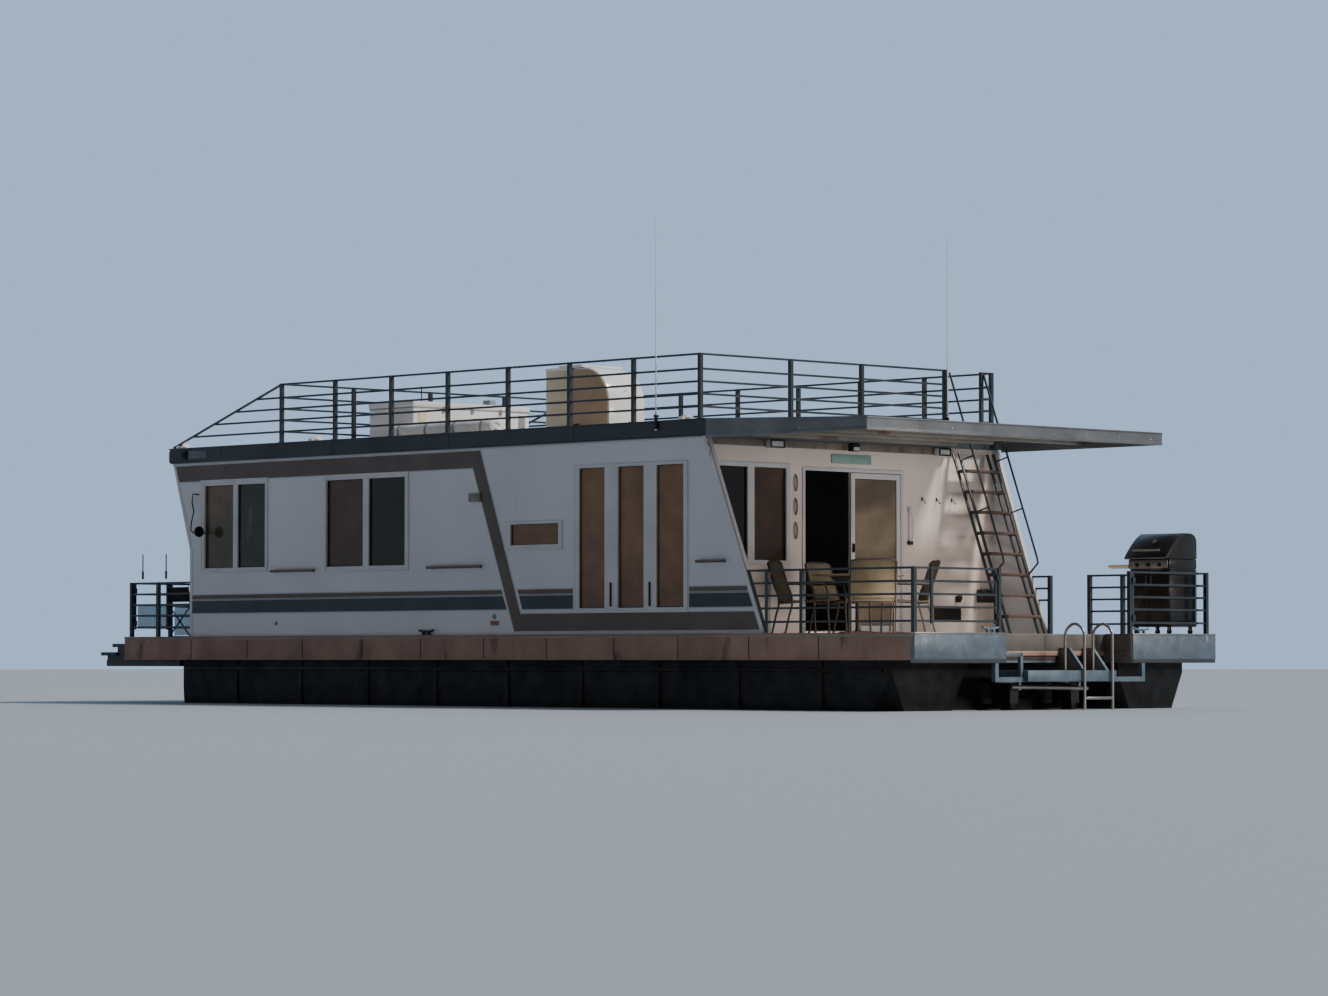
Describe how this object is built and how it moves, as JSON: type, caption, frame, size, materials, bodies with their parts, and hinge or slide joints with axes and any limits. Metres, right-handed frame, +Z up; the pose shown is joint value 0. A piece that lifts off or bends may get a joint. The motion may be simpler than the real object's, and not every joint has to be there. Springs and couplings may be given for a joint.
{
  "type": "houseboat",
  "caption": "Twin-pontoon lake houseboat with a raked white cabin, railed roof deck, canopied stern porch, stairs, gates and twin steering drives.",
  "frame": {"origin": "below the middle of the boat's length and beam, level with the undersides of the pontoons", "axes": "+X forward to the bow, +Y to port, +Z up"},
  "size_m": [15.9494, 5.54, 6.634],
  "materials": {
    "white_panel": "satin white enamel on aluminium panels",
    "slate_trim": "satin dark slate enamel",
    "brown_rim": "weathered brown primer and stains",
    "black_hull": "matt black bottom paint",
    "galvanised": "dull galvanised",
    "deck_surface": "non-slip deck coating",
    "window_frame": "white coated frames with tinted glass",
    "dark_rail": "satin dark slate enamel",
    "stainless": "polished stainless steel",
    "gelcoat": "glossy white gelcoat",
    "antenna_white": "white glass-fibre",
    "black_enamel": "black enamel",
    "cast_alloy": "black painted alloy",
    "chair_tube": "bronze enamel tube with tan slings"
  },
  "bodies": {
    "boat": {"pontoon_port": "black_hull", "pontoon_starboard": "black_hull", "deck_frame": "galvanised", "deck_plate": "deck_surface", "deck_rim": "brown_rim", "stern_edge": "galvanised", "engine_pod": "black_hull", "engine_port": "cast_alloy", "engine_starboard": "cast_alloy", "side_wall_port": "white_panel", "side_wall_starboard": "white_panel", "bow_wall": "white_panel", "stern_wall": "white_panel", "roof": "slate_trim", "porch_canopy": "galvanised", "window_helm_port": "window_frame", "window_saloon_port": "window_frame", "window_galley_port": "window_frame", "window_triple_port": "window_frame", "window_helm_starboard": "window_frame", "window_saloon_starboard": "window_frame", "window_triple_starboard": "window_frame", "window_stern": "window_frame", "stern_door_frame": "window_frame", "bow_door_frame": "window_frame", "roof_rail_port": "dark_rail", "roof_rail_starboard": "dark_rail", "roof_rail_stern": "dark_rail", "roof_rail_bow": "dark_rail", "porch_rail_port": "dark_rail", "porch_rail_starboard": "dark_rail", "gate_post_port": "dark_rail", "gate_post_starboard": "dark_rail", "bow_rail_port": "dark_rail", "bow_rail_front": "dark_rail", "porch_stairs": "dark_rail", "swim_platform": "galvanised", "swim_ladder": "stainless", "boarding_step": "slate_trim", "roof_locker": "gelcoat", "roof_console": "gelcoat", "antenna_port": "antenna_white", "antenna_starboard": "antenna_white", "grill_cart": "black_enamel", "wing_rail_starboard": "dark_rail", "porch_chair_near": "chair_tube", "porch_chair_forward": "chair_tube", "porch_chair_wall": "chair_tube", "porch_chair_aft": "chair_tube", "porch_table": "chair_tube"},
    "stern_door": {"stern_door_leaf": "window_frame"},
    "bow_door": {"bow_door_leaf": "window_frame"},
    "gate_port": {"stern_gate_port": "dark_rail"},
    "gate_starboard": {"stern_gate_starboard": "dark_rail"},
    "gate_bow": {"bow_gate": "dark_rail"},
    "lid": {"grill_lid": "black_enamel"},
    "drive_leg_port": {"drive_port": "cast_alloy"},
    "drive_leg_starboard": {"drive_starboard": "cast_alloy"},
    "wheel_port": {"propeller_port": "stainless"},
    "wheel_starboard": {"propeller_starboard": "stainless"}
  },
  "joints": [
    {"name": "stern_door_slide", "type": "slide", "parent": "boat", "child": "stern_door", "axis": [0, 1, 0], "range_m": [0, 0.834]},
    {"name": "bow_door_slide", "type": "slide", "parent": "boat", "child": "bow_door", "axis": [0, -1, 0], "range_m": [0, 0.834]},
    {"name": "stern_gate_port_hinge", "type": "hinge", "parent": "boat", "child": "gate_port", "pos_m": [-7.8233, 1.23, 1.42], "axis": [0, 0, 1], "range_deg": [0, 90]},
    {"name": "stern_gate_starboard_hinge", "type": "hinge", "parent": "boat", "child": "gate_starboard", "pos_m": [-7.8233, -1.23, 1.42], "axis": [0, 0, -1], "range_deg": [0, 90]},
    {"name": "bow_gate_hinge", "type": "hinge", "parent": "boat", "child": "gate_bow", "pos_m": [7.2717, 2.67, 1.42], "axis": [0, 0, -1], "range_deg": [0, 90]},
    {"name": "grill_lid_hinge", "type": "hinge", "parent": "boat", "child": "lid", "pos_m": [-7.401, -2.602, 2.376], "axis": [1, 0, 0], "range_deg": [0, 80]},
    {"name": "drive_port_steer", "type": "hinge", "parent": "boat", "child": "drive_leg_port", "pos_m": [-7.156, 0.56, 0.7], "axis": [0, 0, 1], "range_deg": [-25, 25]},
    {"name": "drive_starboard_steer", "type": "hinge", "parent": "boat", "child": "drive_leg_starboard", "pos_m": [-7.156, -0.56, 0.7], "axis": [0, 0, 1], "range_deg": [-25, 25]},
    {"name": "propeller_port_spin", "type": "hinge", "parent": "drive_leg_port", "child": "wheel_port", "pos_m": [-7.456, 0.56, 0.27], "axis": [1, 0, 0], "continuous": true},
    {"name": "propeller_starboard_spin", "type": "hinge", "parent": "drive_leg_starboard", "child": "wheel_starboard", "pos_m": [-7.456, -0.56, 0.27], "axis": [1, 0, 0], "continuous": true}
  ],
  "couplings": [
    {"joint": "drive_starboard_steer", "follows": "drive_port_steer", "ratio": 1}
  ]
}
